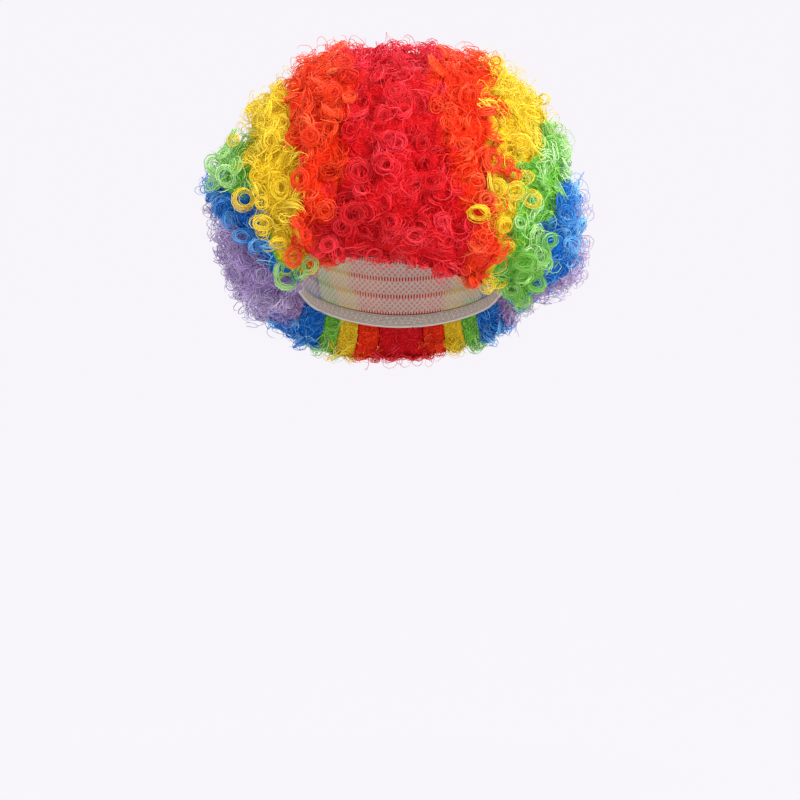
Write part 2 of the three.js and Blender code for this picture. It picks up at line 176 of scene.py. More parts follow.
# The rim's angle down from the crown at an azimuth, less the angle that a height above the rim takes up
def rimPolar(azimuth, above=0.0):
    return tableCurve(rimTable, "azimuth", "polar", azimuth) - math.degrees(above / head["crownHeight"])


# The hem, where the inner and outer faces of the hair meet below the rim, as radius and height
def hemAt(azimuth):
    rim = headPoint(azimuth, rimPolar(azimuth), head["capWall"] + hair["rootGap"])
    drop = tableCurve(hangTable, "azimuth", "hang", azimuth) * head["crownHeight"]
    return np.hypot(rim[..., 0], rim[..., 1]) + hair["hangGap"], rim[..., 2] - drop


# The hair's outline pulled in by inset: an ellipse from the crown (along 0) to the widest level (1), and a
# superellipse of cornerPower from there to the hem (2)
def outlinePoint(azimuth, along, inset):
    azimuth, along, inset = np.broadcast_arrays(*np.atleast_1d(azimuth, along, inset))
    reach = np.where(np.cos(np.radians(azimuth)) > 0, hair["frontReach"], hair["backReach"])
    widest = ellipseRadius(azimuth, hair["breadth"] / 2 - inset, reach - inset)
    upper = np.clip(along, 0, 1) * math.pi / 2
    lower = np.clip(along - 1, 0, 1) * math.pi / 2
    out = np.maximum(np.cos(lower), 0) ** (2 / hair["cornerPower"])
    down = np.sin(lower) ** (2 / hair["cornerPower"])
    hemRadius, hemHeight = hemAt(azimuth)
    rise = (hair["top"] + hair["widestDrop"] - inset) * np.cos(upper) - hair["widestDrop"]
    radius = np.where(along <= 1, widest * np.sin(upper), hemRadius + (widest - hemRadius) * out)
    fall = (hemHeight + hair["widestDrop"]) * down - hair["widestDrop"]
    return pointRound(azimuth, radius, np.where(along <= 1, rise, fall))


# The hair's inner face: over the cap from the crown (0) to the rim (1), and straight on to the hem (2)
def innerPoint(azimuth, along, inset=0.0):
    azimuth, along = np.broadcast_arrays(*np.atleast_1d(azimuth, along))
    onCap = headPoint(azimuth, rimPolar(azimuth) * np.minimum(along, 1), head["capWall"] + hair["rootGap"])
    hem = pointRound(azimuth, *hemAt(azimuth))
    share = np.clip(along - 1, 0, 1)[..., None]
    return onCap * (1 - share) + hem * share


# Points as arms from the middle of the head's widest level
def seenFromMiddle(points):
    return points + np.array([0, 0, head["crownHeight"]])


# Vectors divided by their lengths
def unit(v):
    return v / np.maximum(np.linalg.norm(v, axis=-1, keepdims=True), 1e-12)


# Elevation of arms in degrees: the arc tangent of the height over the distance from the vertical axis
def elevationOf(v):
    return np.degrees(np.arctan2(v[..., 2], np.hypot(v[..., 0], v[..., 1])))


# Azimuth of arms in degrees: 0 to the front, 90 to the viewer's right
def azimuthOf(v):
    return np.degrees(np.arctan2(v[..., 0], -v[..., 1]))


# Pitch of arms round the axis from ear to ear in degrees: 0 to the front, 90 straight up, 180 to the back
def pitchOf(v):
    return np.degrees(np.arctan2(v[..., 2], -v[..., 1]))


# Angle of arms out of the mid plane in degrees: the arc sine of their share along +X
def angleOf(v):
    return np.degrees(np.arcsin(np.clip(unit(v)[..., 0], -1, 1)))


# The direction at a pitch and an angle out of the mid plane
def wayTo(pitch, angle):
    p, a = np.radians(pitch), np.radians(angle)
    return np.stack([np.sin(a), -np.cos(a) * np.cos(p), np.cos(a) * np.sin(p)], -1)


# Halves the range in which a test stops holding, for whole arrays at once
def turningPoint(holds, first, last, shape, halvings=26):
    held, failed = np.full(shape, float(first)), np.full(shape, float(last))
    for _ in range(halvings):
        middle = (held + failed) / 2
        good = holds(middle)
        held, failed = np.where(good, middle, held), np.where(good, failed, middle)
    return held


# Where directions from the head's middle meet the face that faceAt(azimuth, along, inset) gives
def meets(faceAt, way, inset=0.0):
    azimuth, sought = azimuthOf(way), elevationOf(way)
    above = lambda along: elevationOf(seenFromMiddle(faceAt(azimuth, along, inset))) > sought
    return faceAt(azimuth, turningPoint(above, 0, 2, azimuth.shape), inset)


# The stripe whose colour a curl at a point has: its number counted outwards from the red one (0), and its
# side. shake is added to the angle out of the mid plane, so that curls stray over a seam.
def stripeOf(points, shake=0.0):
    way = seenFromMiddle(points)
    pitch, angle = pitchOf(way), angleOf(way) + shake
    side = np.where(angle > 0, 1, -1)
    index = np.zeros(len(points), int)
    for name in seamNames:
        right = tableCurve(curlTables[1], "pitch", name, pitch)
        left = tableCurve(curlTables[-1], "pitch", name, pitch)
        index += np.abs(angle) > np.where(side > 0, right, left)
    return index, np.where(index == 0, 0, side)


# Smooth noise: the sum of a few sine waves of fixed directions, between about -1 and 1, over lengths of
# about size
def softNoise(points, size, seed):
    waves = np.random.default_rng(seed)
    total = 0
    for _ in range(waveNoise["waves"]):
        direction = unit(waves.normal(size=3)) * (2 * math.pi / size) * waves.uniform(*waveNoise["spread"])
        total = total + np.sin(points @ direction + waves.uniform(0, 2 * math.pi))
    return total / waveNoise["most"]


# How thick the hair is along directions from the head's middle, and where they meet its two faces
def hairAlong(way):
    outer, inner = meets(outlinePoint, way), meets(innerPoint, way)
    return np.linalg.norm(outer - inner, axis=-1), outer, inner


# Scales points from the middle of the widest level, across and up, by the fullness at their angle
def filled(points, thickness):
    centre = np.array([0, 0, -hair["widestDrop"]])
    arm = points - centre
    angle = np.degrees(np.arctan2(arm[..., 0], arm[..., 2]))
    reach = tableCurve(fullness, "angle", "reach", angle)
    share = np.clip(thickness / fullness["fullDepth"], 0, 1)
    factor = (1 + (reach - 1) * share)[..., None]
    return centre + arm * np.where([True, False, True], factor, 1)


# How deep in a hollow between clumps a point lies, from 0 on a clump to 1: soft noise, cut off at both ends
def hollow(points):
    noise = softNoise(points, clump["size"], clump["seed"])
    return np.clip(clump["middle"] - clump["swing"] * noise, 0, 1)


# Mesh making

pieces = []     # every mesh that this script adds


# A mesh object from parts: each is a dictionary of points, faces (arrays with a row for each face), values
# for each point and, where the material reads it, a tone for each point
def meshPiece(name, parts, material):
    points = np.concatenate([p["points"].reshape(-1, 3) for p in parts])
    starts = np.cumsum([0] + [p["points"].size // 3 for p in parts])
    faceArrays = [faces + start for p, start in zip(parts, starts) for faces in p["faces"]]
    corners = np.concatenate([f.ravel() for f in faceArrays])
    totals = np.concatenate([np.full(len(f), f.shape[1]) for f in faceArrays])
    mesh = bpy.data.meshes.new(name)
    mesh.vertices.add(len(points))
    mesh.vertices.foreach_set("co", points.astype(np.float32).ravel())
    mesh.loops.add(len(corners))
    mesh.loops.foreach_set("vertex_index", corners.astype(np.int32))
    mesh.polygons.add(len(totals))
    mesh.polygons.foreach_set("loop_start", (np.cumsum(totals) - totals).astype(np.int32))
    mesh.polygons.foreach_set("use_smooth", np.full(len(totals), True))
    for key in parts[0].get("values", {}):
        values = [np.broadcast_to(p["values"][key], p["points"].shape[:-1]).ravel() for p in parts]
        layer = mesh.attributes.new(key, "FLOAT", "POINT")
        layer.data.foreach_set("value", np.concatenate(values).astype(np.float32))
    if "tone" in parts[0]:
        tones = np.concatenate([p["tone"].reshape(-1, 3) for p in parts])
        layer = mesh.attributes.new("tone", "FLOAT_VECTOR", "POINT")
        layer.data.foreach_set("vector", tones.astype(np.float32).ravel())
    mesh.update(calc_edges=True)
    mesh.validate()
    piece = bpy.data.objects.new(name, mesh)
    bpy.context.scene.collection.objects.link(piece)
    piece.data.materials.append(material)
    pieces.append(piece)
    return piece


# Fibres: a closed tube of a few sides along each path. paths is fibres x steps x 3, thick fibres x steps.
# Each ring of points lies across the path, turned from the fibre's axis.
def tubes(paths, axes, thick, sides, tintAndShade):
    count, steps = paths.shape[:2]
    tangent = unit(np.gradient(paths, axis=1))
    across = unit(np.cross(tangent, axes[:, None, :]))
    outward = np.cross(across, tangent)
    ring = 2 * math.pi * np.arange(sides) / sides
    points = (
        paths[:, :, None, :]
        + outward[:, :, None, :] * (thick[..., None] * np.cos(ring))[..., None]
        + across[:, :, None, :] * (thick[..., None] * np.sin(ring))[..., None]
    )
    base = np.arange(count * steps).reshape(count, steps) * sides
    k, k1 = np.arange(sides), (np.arange(sides) + 1) % sides
    low, high = base[:, :-1, None], base[:, 1:, None]
    quads = np.stack(np.broadcast_arrays(low + k, low + k1, high + k1, high + k), -1).reshape(-1, 4)
    ends = [base[:, 0, None] + k[::-1], base[:, -1, None] + k]
    share = np.broadcast_to(np.linspace(0, 1, steps)[None, :, None], points.shape[:-1])
    values = {"tintAndShade": tintAndShade[:, None, None], "share": share}
    return {"points": points, "faces": [quads] + ends, "values": values}


# A closed slab between two grids of points of one shape: both grids, and a wall round their rims
def slab(outer, inner):
    rows, cols = outer.shape[:2]
    grid = np.arange(rows * cols).reshape(rows, cols)
    quadsOf = lambda g: np.stack([g[:-1, :-1], g[1:, :-1], g[1:, 1:], g[:-1, 1:]], -1).reshape(-1, 4)
    rim = np.concatenate([grid[0, :-1], grid[:-1, -1], grid[-1, :0:-1], grid[:0:-1, 0]])
    under = rim + rows * cols
    wall = np.stack([rim, np.roll(rim, -1), np.roll(under, -1), under], -1)
    points = np.stack([outer, inner])
    return {"points": points, "faces": [quadsOf(grid), quadsOf(grid + rows * cols)[:, ::-1], wall]}


# A closed ring: points is columns x rows x 3, and both directions run on into their start
def loopOf(points):
    columns, rows = points.shape[:2]
    grid = np.arange(columns * rows).reshape(columns, rows)
    on, up = np.roll(grid, -1, axis=0), np.roll(grid, -1, axis=1)
    quads = np.stack([grid, on, np.roll(on, -1, axis=1), up], -1).reshape(-1, 4)
    return {"points": points, "faces": [quads]}


# Welds points that coincide, drops faces without area and turns the rest outwards
def weld(piece, distance):
    shape = bmesh.new()
    shape.from_mesh(piece.data)
    bmesh.ops.remove_doubles(shape, verts=shape.verts, dist=distance)
    bmesh.ops.dissolve_degenerate(shape, edges=shape.edges, dist=distance / 4)
    bmesh.ops.recalc_face_normals(shape, faces=shape.faces)
    shape.to_mesh(piece.data)
    shape.free()


# Materials

# Adds a shader node: each setting goes to the socket of that name, or else to the node's own property
def nodeIn(tree, kind, **settings):
    node = tree.nodes.new(kind)
    for key, value in settings.items():
        name = key.replace("_", " ")
        if name in node.inputs:
            node.inputs[name].default_value = value
        else:
            setattr(node, key, value)
    return node


# Feeds sockets: each from another node's socket or with a value
def feed(tree, sockets, values):
    for socket, value in zip(sockets, values):
        if isinstance(value, bpy.types.NodeSocket):
            tree.links.new(value, socket)
        else:
            socket.default_value = value


# A maths node on sockets or numbers
def calc(tree, operation, *values):
    node = nodeIn(tree, "ShaderNodeMath", operation=operation)
    feed(tree, node.inputs, values)
    return node.outputs[0]


# A value brought from one range to 0..1
def ramp(tree, value, low, high):
    node = nodeIn(tree, "ShaderNodeMapRange", From_Min=low, From_Max=high)
    tree.links.new(value, node.inputs["Value"])
    return node.outputs[0]


# Blends two colours by a share: 0 is the first and 1 the second
def blend(tree, share, first, second):
    node = nodeIn(tree, "ShaderNodeMix", data_type="RGBA")
    factor, colourA, colourB = node.inputs[0], node.inputs[6], node.inputs[7]
    feed(tree, (factor, colourA, colourB), (share, first, second))
    return node.outputs[2]


# A mesh attribute, as a value or, from the output Color, as a colour
def attribute(tree, name, output="Fac"):
    return nodeIn(tree, "ShaderNodeAttribute", attribute_name=name).outputs[output]


# Raises a shader's surface by a height: distance is what a height of 1 comes to
def raiseBy(tree, shader, height, strength, distance, invert=False):
    bump = nodeIn(tree, "ShaderNodeBump", Strength=strength, Distance=distance, invert=invert)
    tree.links.new(height, bump.inputs["Height"])
    tree.links.new(bump.outputs["Normal"], shader.inputs["Normal"])


# A node group with a socket of the given kind for each title
def newGroup(name, inputs, outputs):
    group = bpy.data.node_groups.new(name, "ShaderNodeTree")
    for title, kind in inputs.items():
        group.interface.new_socket(title, in_out="INPUT", socket_type="NodeSocket" + kind)
    for title, kind in outputs.items():
        group.interface.new_socket(title, in_out="OUTPUT", socket_type="NodeSocket" + kind)
    return group, group.nodes.new("NodeGroupInput"), group.nodes.new("NodeGroupOutput")


fibreLook = {
    "cloudScale": 38.0, "cloud": 0.7,           # clouds of a shade over the wig
    "tip": 0.15,                                # how much lighter a fibre's far end is
    "deepToMain": (0.25, 0.8), "mainToBright": (0.85, 1.5),
    "sheenLevels": (25 * mm, 65 * mm), "crownShare": 0.5,   # heights where the painted sheen on the top curls comes in, and how much of it
    "roughness": 0.36,
}
# sheen: the tone of a painted sheen that light from above lays on the topmost curls
fibreColours = {
    "red": {"deep": "#c00a16", "main": "#ea1822", "bright": "#fb3f50", "crown": "#dd2050"},
    "orange": {"deep": "#dc2c0a", "main": "#fd4014", "bright": "#ff703a", "crown": "#fa5a2c"},
    "yellow": {"deep": "#f2cf2c", "main": "#fbdc30", "bright": "#ffea58", "crown": "#ffe448"},
    "green": {"deep": "#449a2a", "main": "#8ad650", "bright": "#dcfcc0", "crown": "#8ad650"},
    "blue": {"deep": "#064296", "main": "#1282dc", "bright": "#8ad6ff", "crown": "#1282dc"},
    "purple": {"deep": "#8467a4", "main": "#b298cd", "bright": "#e0d4ee", "crown": "#b298cd"},
}
fibreGloss = {"red": 0.26, "orange": 0.24, "yellow": 0.16, "green": 0.42, "blue": 0.45, "purple": 0.3}


# The tone of curled fibre: the sum of its own tint and painted shade, a share for its tip and soft clouds
# sets it between deep, main and bright, and the topmost curls take a painted sheen of light from above
def makeFibreTone():
    group, entry, result = newGroup("fibreTone", dict.fromkeys(("Deep", "Main", "Bright", "Crown"), "Color"),
                                    {"Color": "Color"})
    place = nodeIn(group, "ShaderNodeTexCoord").outputs["Object"]
    cloud = nodeIn(group, "ShaderNodeTexNoise", Scale=fibreLook["cloudScale"], Detail=1.0)
    group.links.new(place, cloud.inputs["Vector"])
    own = calc(group, "MULTIPLY_ADD", attribute(group, "share"), fibreLook["tip"], attribute(group, "tintAndShade"))
    mixed = calc(group, "MULTIPLY_ADD", cloud.outputs["Fac"], fibreLook["cloud"], own)
    toMain, toBright = (ramp(group, mixed, *fibreLook[key]) for key in ("deepToMain", "mainToBright"))
    low = blend(group, toMain, entry.outputs["Deep"], entry.outputs["Main"])
    high = blend(group, toBright, low, entry.outputs["Bright"])
    axes = nodeIn(group, "ShaderNodeSeparateXYZ")
    group.links.new(place, axes.inputs[0])
    sheenAmount = calc(group, "MULTIPLY", ramp(group, axes.outputs["Z"], *fibreLook["sheenLevels"]),
                   fibreLook["crownShare"])
    group.links.new(blend(group, sheenAmount, high, entry.outputs["Crown"]), result.inputs["Color"])
    return group


underLook = {
    "driftScale": 120.0, "drift": 12 * mm,      # noise that bends the rings
    "curlScale": 85.0, "rings": 42.0, "ringHeight": 0.28,
    "fineScale": 420.0,                         # the grain of single fibres
    "levels": (0.15, 0.85),                     # heights between which the painted shade changes
    "shadeLow": 0.85, "shadeHigh": 0.1,         # how much of the deep tone, painted shade, there is at each
    "through": 0.7,                             # how dark the painted shade is, as light that got through two fibres
    "strength": 0.8, "bump": 1.2 * mm,
}


# Curls raised on the under hair: the sine of the distance to scattered centres, bent and broken up by noise
def makeCurlRelief():
    group, entry, result = newGroup("curlRelief", {}, {"Height": "Float"})
    place = nodeIn(group, "ShaderNodeTexCoord").outputs["Object"]
    drift = nodeIn(group, "ShaderNodeTexNoise", Scale=underLook["driftScale"], Detail=2.0)
    group.links.new(place, drift.inputs["Vector"])
    moved = nodeIn(group, "ShaderNodeVectorMath", operation="MULTIPLY_ADD")
    moved.inputs[1].default_value = (underLook["drift"],) * 3
    group.links.new(drift.outputs["Color"], moved.inputs[0])
    group.links.new(place, moved.inputs[2])
    cells = nodeIn(group, "ShaderNodeTexVoronoi", Scale=underLook["curlScale"])
    group.links.new(moved.outputs[0], cells.inputs["Vector"])
    rings = calc(group, "SINE", calc(group, "MULTIPLY", cells.outputs["Distance"], underLook["rings"]))
    fine = nodeIn(group, "ShaderNodeTexNoise", Scale=underLook["fineScale"], Detail=2.0)
    group.links.new(place, fine.inputs["Vector"])
    height = calc(group, "MULTIPLY_ADD", rings, underLook["ringHeight"], fine.outputs["Fac"])
    group.links.new(height, result.inputs["Height"])
    return group


# A colour given as sRGB hex, as the linear colour that shaders take: sRGB's own curve with its own numbers
def linearColour(text, dim=1.0):
    channels = [int(text[i:i + 2], 16) / 255 for i in (1, 3, 5)]
    linear = [c / 12.92 if c <= 0.04045 else ((c + 0.055) / 1.055) ** 2.4 for c in channels]
    return tuple(dim * c for c in linear) + (1.0,)


# A cloth or fibre finish: its material, node tree and shader
def clothMaterial(name, roughness, gloss):
    material = bpy.data.materials.new(name)
    material.use_nodes = True
    shader = material.node_tree.nodes["Principled BSDF"]
    shader.inputs["Roughness"].default_value = roughness
    shader.inputs["Specular IOR Level"].default_value = gloss
    return material, material.node_tree, shader


# Curled fibre of one colour: the shared tone with the colour's own four
def curlMaterial(colour):
    material, tree, shader = clothMaterial(colour + "Curls", fibreLook["roughness"], fibreGloss[colour])
    tone = nodeIn(tree, "ShaderNodeGroup", node_tree=fibreTone)
    for key, value in fibreColours[colour].items():
        tone.inputs[key.title()].default_value = linearColour(value)
    tree.links.new(tone.outputs["Color"], shader.inputs["Base Color"])
    return material


# The under hair: the tone of the curls that hang over it, and between the rings of its relief painted shade:
# that tone multiplied by itself, as light that went through two fibres
def makeUnderMaterial():
    material, tree, shader = clothMaterial("underHair", roughness=0.6, gloss=0.1)
    height = nodeIn(tree, "ShaderNodeGroup", node_tree=curlRelief).outputs["Height"]
    tone = attribute(tree, "tone", "Color")
    # Painted shade: the low parts of the relief take the deep tone
    shade = calc(tree, "MULTIPLY_ADD", ramp(tree, height, *underLook["levels"]),
                 underLook["shadeHigh"] - underLook["shadeLow"], underLook["shadeLow"])
    twice = nodeIn(tree, "ShaderNodeVectorMath", operation="MULTIPLY")
    feed(tree, twice.inputs, (tone, tone))
    deep = nodeIn(tree, "ShaderNodeVectorMath", operation="SCALE", Scale=underLook["through"])
    tree.links.new(twice.outputs[0], deep.inputs[0])
    tree.links.new(blend(tree, shade, tone, deep.outputs[0]), shader.inputs["Base Color"])
    raiseBy(tree, shader, height, underLook["strength"], underLook["bump"])
    return material


# The main tone of the curls that hang over each point
def toneAt(points, dim):
    tones = np.array([linearColour(fibreColours[colour]["main"], dim)[:3] for colour in colourNames])
    return tones[stripeOf(points.reshape(-1, 3))[0]].reshape(points.shape)


# Puts a stripe's piece in place of its solid, hung from the root
def dress(piece, colour, side):
    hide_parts(cadNode(colour, side))
    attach(piece, "root")


# Cap: a round top and four panels of net with weft tracks, on which the hair is sewn

cap = {
    "topShare": 0.42,           # of the way down that the round top takes up
    "panelGap": 0.5 * mm,       # between the top and the panels
    "panelTurn": 0.3,           # half the gap between two panels, in degrees
    "netPitch": 4.2 * mm, "hole": (0.1, 0.75),
    "trackPitch": 13 * mm,      # between two rows of weft
    "trackProud": 0.7 * mm, "trackWide": 3.6 * mm, "trackEdge": (0.35, 0.6),
    "stitchPitch": 2.2 * mm, "stitchEdge": (-0.2, 0.4),
    "threads": "#e4ded4", "stitches": "#d9d2c6",
    "seenThrough": 0.55, "hairDim": 0.75,   # how much of the hair shows in the holes, and how much darker it is painted there, as painted shade
    "topSpan": 0.36,            # how far the net spreads over the top, in breadths of the head
    "steps": 41, "stepsRound": 25, "arcSteps": 400,
}
panelMiddles = {"cap_front": 0, "cap_right": 90, "cap_back": 180, "cap_left": 270}


# The net: two crossing sets of threads over the colour of the hair behind, darkened as painted shade, and
# tracks with a row of stitches
def makeNetMaterial():
    material, tree, shader = clothMaterial("capNet", roughness=0.8, gloss=0.2)
    across, down = attribute(tree, "across"), attribute(tree, "down")
    hairTone = attribute(tree, "tone", "Color")
    threads = []
    for operation in ("ADD", "SUBTRACT"):
        slant = calc(tree, "MULTIPLY", calc(tree, operation, across, down), math.pi / cap["netPitch"])
        threads.append(calc(tree, "ABSOLUTE", calc(tree, "SINE", slant)))
    hole = ramp(tree, calc(tree, "MINIMUM", *threads), *cap["hole"])
    stitchTurn = calc(tree, "MULTIPLY", across, 2 * math.pi / cap["stitchPitch"])
    stitch = ramp(tree, calc(tree, "SINE", stitchTurn), *cap["stitchEdge"])
    onTrack = ramp(tree, attribute(tree, "track"), *cap["trackEdge"])
    shown = calc(tree, "MULTIPLY", hole, cap["seenThrough"])
    net = blend(tree, shown, linearColour(cap["threads"]), hairTone)
    sewn = blend(tree, stitch, hairTone, linearColour(cap["stitches"]))
    tree.links.new(blend(tree, onTrack, net, sewn), shader.inputs["Base Color"])
    raiseBy(tree, shader, hole, strength=0.6, distance=0.4 * mm, invert=True)
    return material


# Where the cap ends above the band, as the angle down from the crown
def edgePolar(azimuth):
    return rimPolar(azimuth, band["height"] + band["gap"])


# A patch of the cap from grids of azimuth, polar angle and way across: the head's ellipsoid inside and out,
# with the inner face raised along the weft tracks by a bell curve
def capPatch(name, azimuth, polar, across, material):
    fromEdge = np.radians(edgePolar(azimuth) - polar) * head["crownHeight"]
    phase = (fromEdge / cap["trackPitch"] + 0.5) % 1 - 0.5
    track = np.exp(-(phase * cap["trackPitch"] / (cap["trackWide"] / 2)) ** 2)
    inner = headPoint(azimuth, polar, -cap["trackProud"] * track)
    outer = headPoint(azimuth, polar, head["capWall"])
    part = slab(outer, inner)
    both = lambda values: np.stack([values, values])
    part["values"] = {"across": both(across), "down": both(fromEdge), "track": both(track)}
    # Painted shade: the hair's tone, dimmed, for what shows in the holes
    part["tone"] = both(toneAt(outer, cap["hairDim"]))
    piece = meshPiece(name + "_net", [part], material)
    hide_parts(name)
    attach(piece, "root")


# The top is a square grid drawn out to a disc, and each panel a quarter of the way round from there to the
# band
def makeCap():
    material = makeNetMaterial()
    side = np.linspace(-1, 1, cap["steps"])
    x, y = np.meshgrid(side, side, indexing="ij")
    discX, discY = x * np.sqrt(1 - y * y / 2), y * np.sqrt(1 - x * x / 2)
    azimuth = np.degrees(np.arctan2(discX, discY))
    polar = edgePolar(azimuth) * cap["topShare"] * np.hypot(discX, discY)
    capPatch("cap_crown", azimuth, polar, discX * head["breadth"] * cap["topSpan"], material)
    half = 45 - cap["panelTurn"]
    u, v = np.meshgrid(np.linspace(-half, half, cap["stepsRound"]), np.linspace(0, 1, cap["steps"]),
                       indexing="ij")
    for name, middle in panelMiddles.items():
        azimuth = middle + u
        upper = edgePolar(azimuth) * cap["topShare"] + math.degrees(cap["panelGap"] / head["crownHeight"])
        turned = np.linspace(middle - half, middle + half, cap["arcSteps"])
        steps = np.linalg.norm(np.diff(headPoint(turned, 90.0, 0.0), axis=0), axis=1)
        across = np.interp(azimuth, turned, np.concatenate([[0], np.cumsum(steps)]))
        capPatch(name, azimuth, upper + (edgePolar(azimuth) - upper) * v, across, material)


# The elastic band round the cap's opening

band = {
    "height": 10 * mm, "gap": 0.5 * mm, "proud": 0.8 * mm,
    "corner": 0.35,             # how square its section is, 1 is an ellipse
    "gathers": 60, "gatherDepth": 0.35 * mm,
    "ribPitch": 1.25 * mm, "ribEdge": (-0.6, 0.6),
    "zigzagPitch": 5 * mm, "zigzagReach": 2.2 * mm,
    "threadEdge": (0.35 * mm, 0.7 * mm),    # from the middle of the thread to where it ends
    # valleyShade is painted shade: the valleys between the ribs are coloured darker than the rib tops
    "valleyShade": "#bdb5a8", "ribs": "#ded8cc", "threads": "#f3efe6",
    "steps": 360, "sides": 12,
}


# Lengthwise ribs by a sine wave, and a thread laid where the height is that of another wave
def makeBandMaterial():
    material, tree, shader = clothMaterial("elasticBand", roughness=0.7, gloss=0.25)
    across, down = attribute(tree, "across"), attribute(tree, "down")
    ribs = calc(tree, "SINE", calc(tree, "MULTIPLY", down, 2 * math.pi / band["ribPitch"]))
    wave = calc(tree, "SINE", calc(tree, "MULTIPLY", across, 2 * math.pi / band["zigzagPitch"]))
    zigzag = calc(tree, "MULTIPLY", wave, band["zigzagReach"])
    thread = ramp(tree, calc(tree, "ABSOLUTE", calc(tree, "SUBTRACT", down, zigzag)), *band["threadEdge"])
    # Painted shade: the valleys between the ribs are darker than their tops
    valleyShade, tops = linearColour(band["valleyShade"]), linearColour(band["ribs"])
    cloth = blend(tree, ramp(tree, ribs, *band["ribEdge"]), valleyShade, tops)
    tree.links.new(blend(tree, thread, linearColour(band["threads"]), cloth), shader.inputs["Base Color"])
    raiseBy(tree, shader, ribs, strength=0.7, distance=0.3 * mm)
    return material


# A superellipse carried round the rim, gathered by a sine wave that fades at its edges
def makeBand():
    azimuth = np.linspace(0, 360, band["steps"] + 1)[:-1][:, None]
    turn = 2 * math.pi * np.arange(band["sides"])[None, :] / band["sides"]
    squared = lambda wave: np.sign(wave) * np.abs(wave) ** band["corner"]
    lift = squared(np.cos(turn))        # -1 at the rim to 1 at the cap
    out = squared(np.sin(turn))         # -1 inside to 1 outside
    gather = np.sin(np.radians(azimuth) * band["gathers"]) * band["gatherDepth"] * (1 - lift ** 4)
    middle, half = (head["capWall"] - band["proud"]) / 2, (head["capWall"] + band["proud"]) / 2
    halfHeight = band["height"] / 2
    polar = rimPolar(azimuth, halfHeight) - lift * math.degrees(halfHeight / head["crownHeight"])
    part = loopOf(headPoint(azimuth, polar, middle + half * out + gather))
    part["values"] = {"across": np.radians(azimuth) * head["length"] / 2, "down": lift * halfHeight}
    piece = meshPiece("gathered_band", [part], makeBandMaterial())
    weld(piece, 0.001 * mm)
    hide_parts("edge_band")
    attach(piece, "root")


makeCap()
makeBand()
print("cap and band done")

# Under hair: the deeper mass of each stripe, from the cap to below the curls

underHair = {
    "depth": 10 * mm,           # below the outline
    "gap": 0.6 * mm,            # on each side of a seam
    "least": 0.06,              # of the hair's thickness that it always keeps
    "ease": 0.04,               # how much closer its rows lie at the hems
    # dim: the under hair is painted a little darker than the curls over it, as painted shade
    "dim": 0.95, "across": 10, "along": 80, "weld": 0.02 * mm,
}


# The directions of a stripe, u across from its left seam (0) to its right (1), v along from the front hem
# to the back one. The stripe over the ear runs from its seam (0) down to the hem (1).
def stripeWays(colour, side, u, v):
    inset = math.degrees(underHair["gap"] / head["breadth"])
    index = colourNames.index(colour)
    seam = lambda s, name, pitch: s * tableCurve(seamTables[s], "pitch", name, pitch)
    if side == 0:
        angleAt = lambda p: ((seam(-1, "redOrange", p) + inset) * (1 - u)
                             + (seam(1, "redOrange", p) - inset) * u)
    elif colour == "purple":
        angleAt = lambda p: seam(side, "bluePurple", p) + side * inset
    else:
        near, far = seamNames[index - 1], seamNames[index]
        share = u if side > 0 else 1 - u
        angleAt = lambda p: ((seam(side, near, p) + side * inset) * (1 - share)
                             + (seam(side, far, p) - side * inset) * share)
    hemElevation = lambda azimuth: elevationOf(seenFromMiddle(pointRound(azimuth, *hemAt(azimuth))))

    def aboveHem(pitch):
        way = wayTo(pitch, angleAt(pitch))
        return elevationOf(way) > hemElevation(azimuthOf(way))

    front = turningPoint(aboveHem, 90, -90, u.shape)
    back = turningPoint(aboveHem, 90, 270, u.shape)
    pitch = front + (back - front) * (v - underHair["ease"] * np.sin(2 * math.pi * v))
    way = wayTo(pitch, angleAt(pitch))
    if colour != "purple":
        return way
    ends = [azimuthOf(wayTo(p, angleAt(p))) for p in (front, back)]
    azimuth = ends[0] + (ends[1] - ends[0]) * v
    elevation = np.radians(hemElevation(azimuth))
    hem = pointRound(azimuth, np.cos(elevation), np.sin(elevation))
    return unit(way * (1 - u[..., None]) + hem * u[..., None])


# A slab from the hair's inner face to its outline, less the depth and that of the hollow at each point
def makeUnderHair(colour, side):
    u, v = np.meshgrid(np.linspace(0, 1, underHair["across"] + 1), np.linspace(0, 1, underHair["along"] + 1),
                       indexing="ij")
    thickness, outer, inner = hairAlong(stripeWays(colour, side, u, v))
    depth = underHair["depth"] + hollow(outer) * clump["depth"]
    kept = np.maximum(1 - depth / np.maximum(thickness, mm), underHair["least"])[..., None]
    part = slab(inner + (filled(outer, thickness) - inner) * kept, inner)
    # Painted shade: the curls' main tone, dimmed
    part["tone"] = np.tile(toneAt(outer, underHair["dim"]), (2, 1, 1))
    piece = meshPiece(stripeName(colour, side) + "_under_hair", [part], underHairMaterial)
    weld(piece, underHair["weld"])
    return piece


fibreTone, curlRelief = makeFibreTone(), makeCurlRelief()
underHairMaterial = makeUnderMaterial()
curlMaterials = {colour: curlMaterial(colour) for colour in colourNames}
for colour, side in stripes:
    dress(makeUnderHair(colour, side), colour, side)
print("under hair done")

# Curls: each kind is a bundle of fibres round one helix. Turns, radius, rise, tilt from the surface's
# normal in degrees and sink below the outline are the helix's. Each fibre scatters from its axis, sways
# from its direction, takes a share of its radius (ring), waves, and drifts from its start by so many
# radians.

